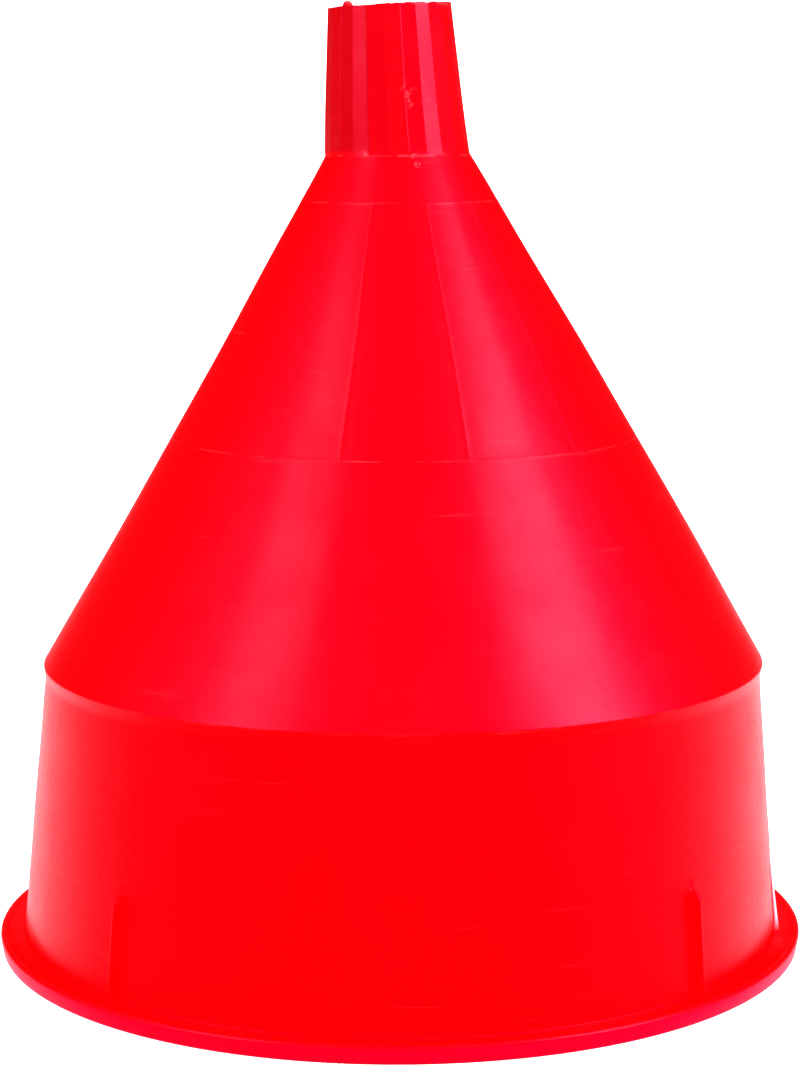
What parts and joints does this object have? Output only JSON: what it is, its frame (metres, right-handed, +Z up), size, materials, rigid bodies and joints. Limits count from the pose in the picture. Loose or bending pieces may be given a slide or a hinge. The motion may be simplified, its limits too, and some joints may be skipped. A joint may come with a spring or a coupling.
{
  "type": "funnel",
  "caption": "Large plastic funnel with a flanged rim, a deep skirt, a straight cone and a short faceted spout, with a lift-out gauze strainer.",
  "frame": {"origin": "centre of the circle that the rim rests on, at the resting edge's height", "axes": "+Z up through the spout; +X to the right and -Y towards the viewer of the front"},
  "size_m": [0.25, 0.25, 0.289],
  "materials": {
    "shell": "semi-gloss moulded polyethylene",
    "strainer_plastic": "satin moulded nylon",
    "gauze": "plain woven wire",
    "bail_wire": "bright drawn stainless wire"
  },
  "bodies": {
    "funnel": {"spout": "shell", "neck_cone": "shell", "strainer_cone": "shell", "main_cone": "shell", "skirt": "shell", "rim_flange": "shell", "gusset_1": "shell", "gusset_2": "shell", "gusset_3": "shell", "gusset_4": "shell", "low_rib": "shell", "seat_fins": "shell"},
    "strainer": {"strainer_frame": "strainer_plastic", "strainer_gauze": "gauze", "clamp_ring": "strainer_plastic"},
    "bail": {"bail": "bail_wire"}
  },
  "joints": [
    {"name": "strainer_lift", "type": "slide", "parent": "funnel", "child": "strainer", "axis": [0, 0, -1], "range_m": [0, 0.17]},
    {"name": "bail_swing", "type": "hinge", "parent": "strainer", "child": "bail", "pos_m": [0, 0, 0.14911], "axis": [1, 0, 0], "range_deg": [-80, 80]}
  ]
}
